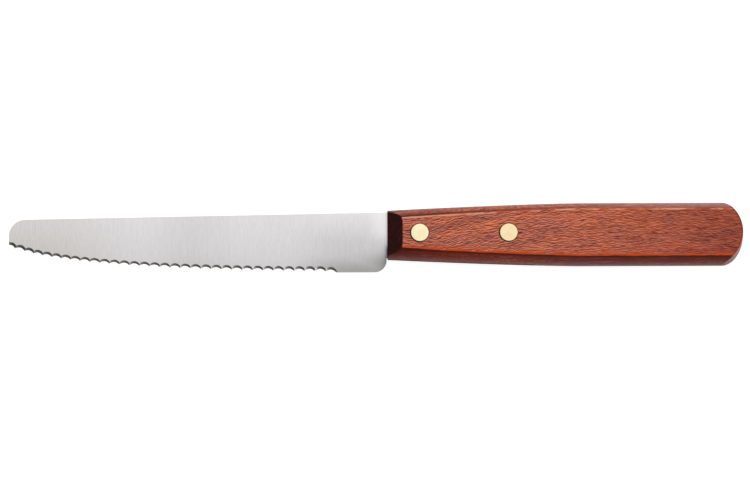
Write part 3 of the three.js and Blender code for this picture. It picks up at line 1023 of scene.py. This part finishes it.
def serrated_blade(hole, finish):
    curve = dict.fromkeys(("Start", "Start Handle", "End Handle", "End"), "Vector")
    tools = dict.fromkeys(("Places", "Wheel", "Hole", "Tang"), "Object")
    tree, given = geometry_tree("grind the edge", {**ROW_INPUTS, **curve, **tools, "Finish": "Material"})
    body = given["Geometry"]
    joining = {"operation": "UNION", "solver": "EXACT"}
    whole = [body, shape_of(body, given["Tang"])]
    joined = body.node("GeometryNodeMeshBoolean", joining, {"Mesh 2": whole})
    cutters = [wheels_along_edge(given), in_a_row(given, shape_of(body, given["Hole"]))]
    end_tree(cut_from(joined, cutters), given["Finish"])
    helpers = {"Places": scallop_places(), "Wheel": grinding_wheel(), "Tang": tang()}
    controls = [DRAWING_ORIGIN + point * MM for point in edge_controls()]
    piece = softened(blade_blank(), BLADE_EDGE_BREAK, BLADE_BREAK_ANGLE)
    grown(piece, tree, {**ROW, **dict(zip(curve, controls)), **helpers, "Hole": hole, "Finish": finish})
    for helper in helpers.values():
        bpy.data.objects.remove(helper)
    mark_ground_faces(piece)
    return shaded(piece, BLADE_HARD_EDGE)


# Rivets: a bored sleeve from above and a pin from below, the heads let into the wood

def rivet_head():
    """The profile of a head with a rounded rim, from its seat to the middle of its face."""
    return [
        (HEAD_RADIUS, HEAD_SEAT),
        (HEAD_RADIUS, HEAD_TOP - HEAD_EDGE_BREAK),
        (HEAD_RADIUS - HEAD_ROUND, HEAD_TOP - HEAD_ROUND),
        (HEAD_RADIUS - HEAD_EDGE_BREAK, HEAD_TOP),
        (0, HEAD_TOP),
    ]


def rivet_sleeve():
    bore = PIN_RADIUS + PIN_CLEARANCE
    bore_top = HEAD_SEAT - BORE_FLOOR
    open_end = SLEEVE_END_GAP - HEAD_SEAT
    shank = [
        (0, bore_top),
        (bore, bore_top),
        (bore, open_end),
        (SLEEVE_RADIUS, open_end),
        (SLEEVE_RADIUS, HEAD_SEAT),
    ]
    return turned("sleeve_pattern", shank + rivet_head())


def rivet_pin():
    pin_top = HEAD_SEAT - BORE_FLOOR - PIN_END_GAP
    head = [(radius, -height) for radius, height in reversed(rivet_head())]
    shank = [
        (PIN_RADIUS, -HEAD_SEAT),
        (PIN_RADIUS, pin_top - PIN_CHAMFER),
        (PIN_RADIUS - PIN_CHAMFER, pin_top),
        (0, pin_top),
    ]
    return turned("pin_pattern", head + shank)


def rivet_row(name, pattern, finish):
    tree, given = geometry_tree(f"set the {name}", {**ROW_INPUTS, "Rivet": "Object", "Finish": "Material"})
    end_tree(in_a_row(given, shape_of(given["Geometry"], given["Rivet"])), given["Finish"])
    piece = bpy.data.objects.new(name, bpy.data.meshes.new(name))
    bpy.context.scene.collection.objects.link(piece)
    grown(piece, tree, {**ROW, "Rivet": pattern, "Finish": finish})
    bpy.data.objects.remove(pattern)
    return shaded(piece, HARD_EDGE)


wood = wood_finish()
steel = steel_finish()
brass = brass_finish()
hole_cutter = rivet_hole()
handle = bored_handle(hole_cutter, wood)
blade = serrated_blade(hole_cutter, steel)
bpy.data.objects.remove(hole_cutter)
sleeves = rivet_row("rivet_sleeves", rivet_sleeve(), brass)
pins = rivet_row("rivet_pins", rivet_pin(), brass)

for piece, slot, nodes in (
    (handle, "wood", ["handle"]),
    (blade, "steel", ["blade"]),
    (sleeves, "brass", ["front_rivet_sleeve", "rear_rivet_sleeve"]),
    (pins, "brass", ["front_rivet_pin", "rear_rivet_pin"]),
):
    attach(piece, "root")
    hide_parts(*nodes)


# Studio, in metres: a white floor, an even white surround, and dark cards at the edge side and the tip

FLOOR_SIZE = 6.0
FLOOR_DROP = 0.0002
FLOOR_GLOW = 0.8
FLOOR_WHITE = (0.55, 0.55, 0.55, 1.0)
SURROUND_LIGHT = 1.0
CARD_BLACK = (0.28, 0.28, 0.28, 1.0)
CARDS = {
    "edge_side_card": {"corner": (-0.6, -0.27), "end": (0.17, -0.27), "height": 0.45},
    "tip_side_card": {"corner": (-0.42, -0.27), "end": (-0.42, 0.35), "height": 0.5},
}


def stage_sheet(name, corners, finish):
    mesh = bpy.data.meshes.new(name)
    mesh.from_pydata(corners, [], [(0, 1, 2, 3)])
    mesh.materials.append(finish)
    sheet = bpy.data.objects.new(name, mesh)
    bpy.context.scene.collection.objects.link(sheet)
    return sheet


def floor_finish():
    """Plain pale floor that looks white to the camera and in reflections, and keeps the knife's shadow."""
    made, start, shader = material("white_floor")
    feed(shader, {"Base Color": FLOOR_WHITE, "Roughness": 1.0, "Specular IOR Level": 0.0})
    camera = start.node("ShaderNodeLightPath", {}, {}, "Is Camera Ray")
    outputs = camera.socket.node.outputs
    seen = camera.at_least(Field(start.tree, outputs["Is Glossy Ray"]))
    seen = seen.at_least(Field(start.tree, outputs["Is Transmission Ray"]))
    glow = start.node("ShaderNodeEmission", {}, {"Color": (1, 1, 1, 1), "Strength": seen * FLOOR_GLOW})
    both = start.node("ShaderNodeAddShader", {}, {0: Field(start.tree, shader.outputs[0]), 1: glow})
    start.tree.links.new(both.socket, start.tree.nodes["Material Output"].inputs["Surface"])
    return made


def card_finish():
    made, _, shader = material("black_card")
    feed(shader, {"Base Color": CARD_BLACK, "Roughness": 1.0, "Specular IOR Level": 0.0})
    return made


half = FLOOR_SIZE / 2
floor_corners = [(x, y, -FLOOR_DROP) for x, y in ((-half, -half), (half, -half), (half, half), (-half, half))]
stage_sheet("floor", floor_corners, floor_finish())
black = card_finish()
for name, card in CARDS.items():
    low = [(*card["corner"], 0), (*card["end"], 0)]
    high = [(*card["end"], card["height"]), (*card["corner"], card["height"])]
    stage_sheet(name, low + high, black).visible_camera = False

scene = bpy.context.scene
scene.view_settings.view_transform = "Standard"
scene.world = bpy.data.worlds.new("studio")
scene.world.use_nodes = True
surround = scene.world.node_tree.nodes["Background"]
surround.inputs["Color"].default_value = (1, 1, 1, 1)
surround.inputs["Strength"].default_value = SURROUND_LIGHT

# Camera: nearly straight down, leaning to the edge side, with a long lens. Its distance is in metres.
# PIXEL is how much of the knife one pixel shows, in millimetres.

IMAGE_WIDTH = 750
PIXEL = 0.2907
CAMERA_DISTANCE = 6.0
CAMERA_ELEVATION = math.radians(81)
CAMERA_ROLL = 0.0034
SENSOR_WIDTH = 36.0
AIM = Vector((-3.6, -4.28, 0))

lens = bpy.data.cameras.new("camera")
lens.sensor_width = SENSOR_WIDTH
lens.lens = SENSOR_WIDTH * CAMERA_DISTANCE / (IMAGE_WIDTH * PIXEL * MM)
camera = bpy.data.objects.new("camera", lens)
scene.collection.objects.link(camera)
towards_camera = Vector((0, -math.cos(CAMERA_ELEVATION), math.sin(CAMERA_ELEVATION)))
camera.location = DRAWING_ORIGIN + AIM * MM + towards_camera * CAMERA_DISTANCE
level = Matrix.Rotation(math.pi / 2 - CAMERA_ELEVATION, 4, "X")
camera.rotation_euler = (level @ Matrix.Rotation(-CAMERA_ROLL, 4, "Z")).to_euler()
scene.camera = camera
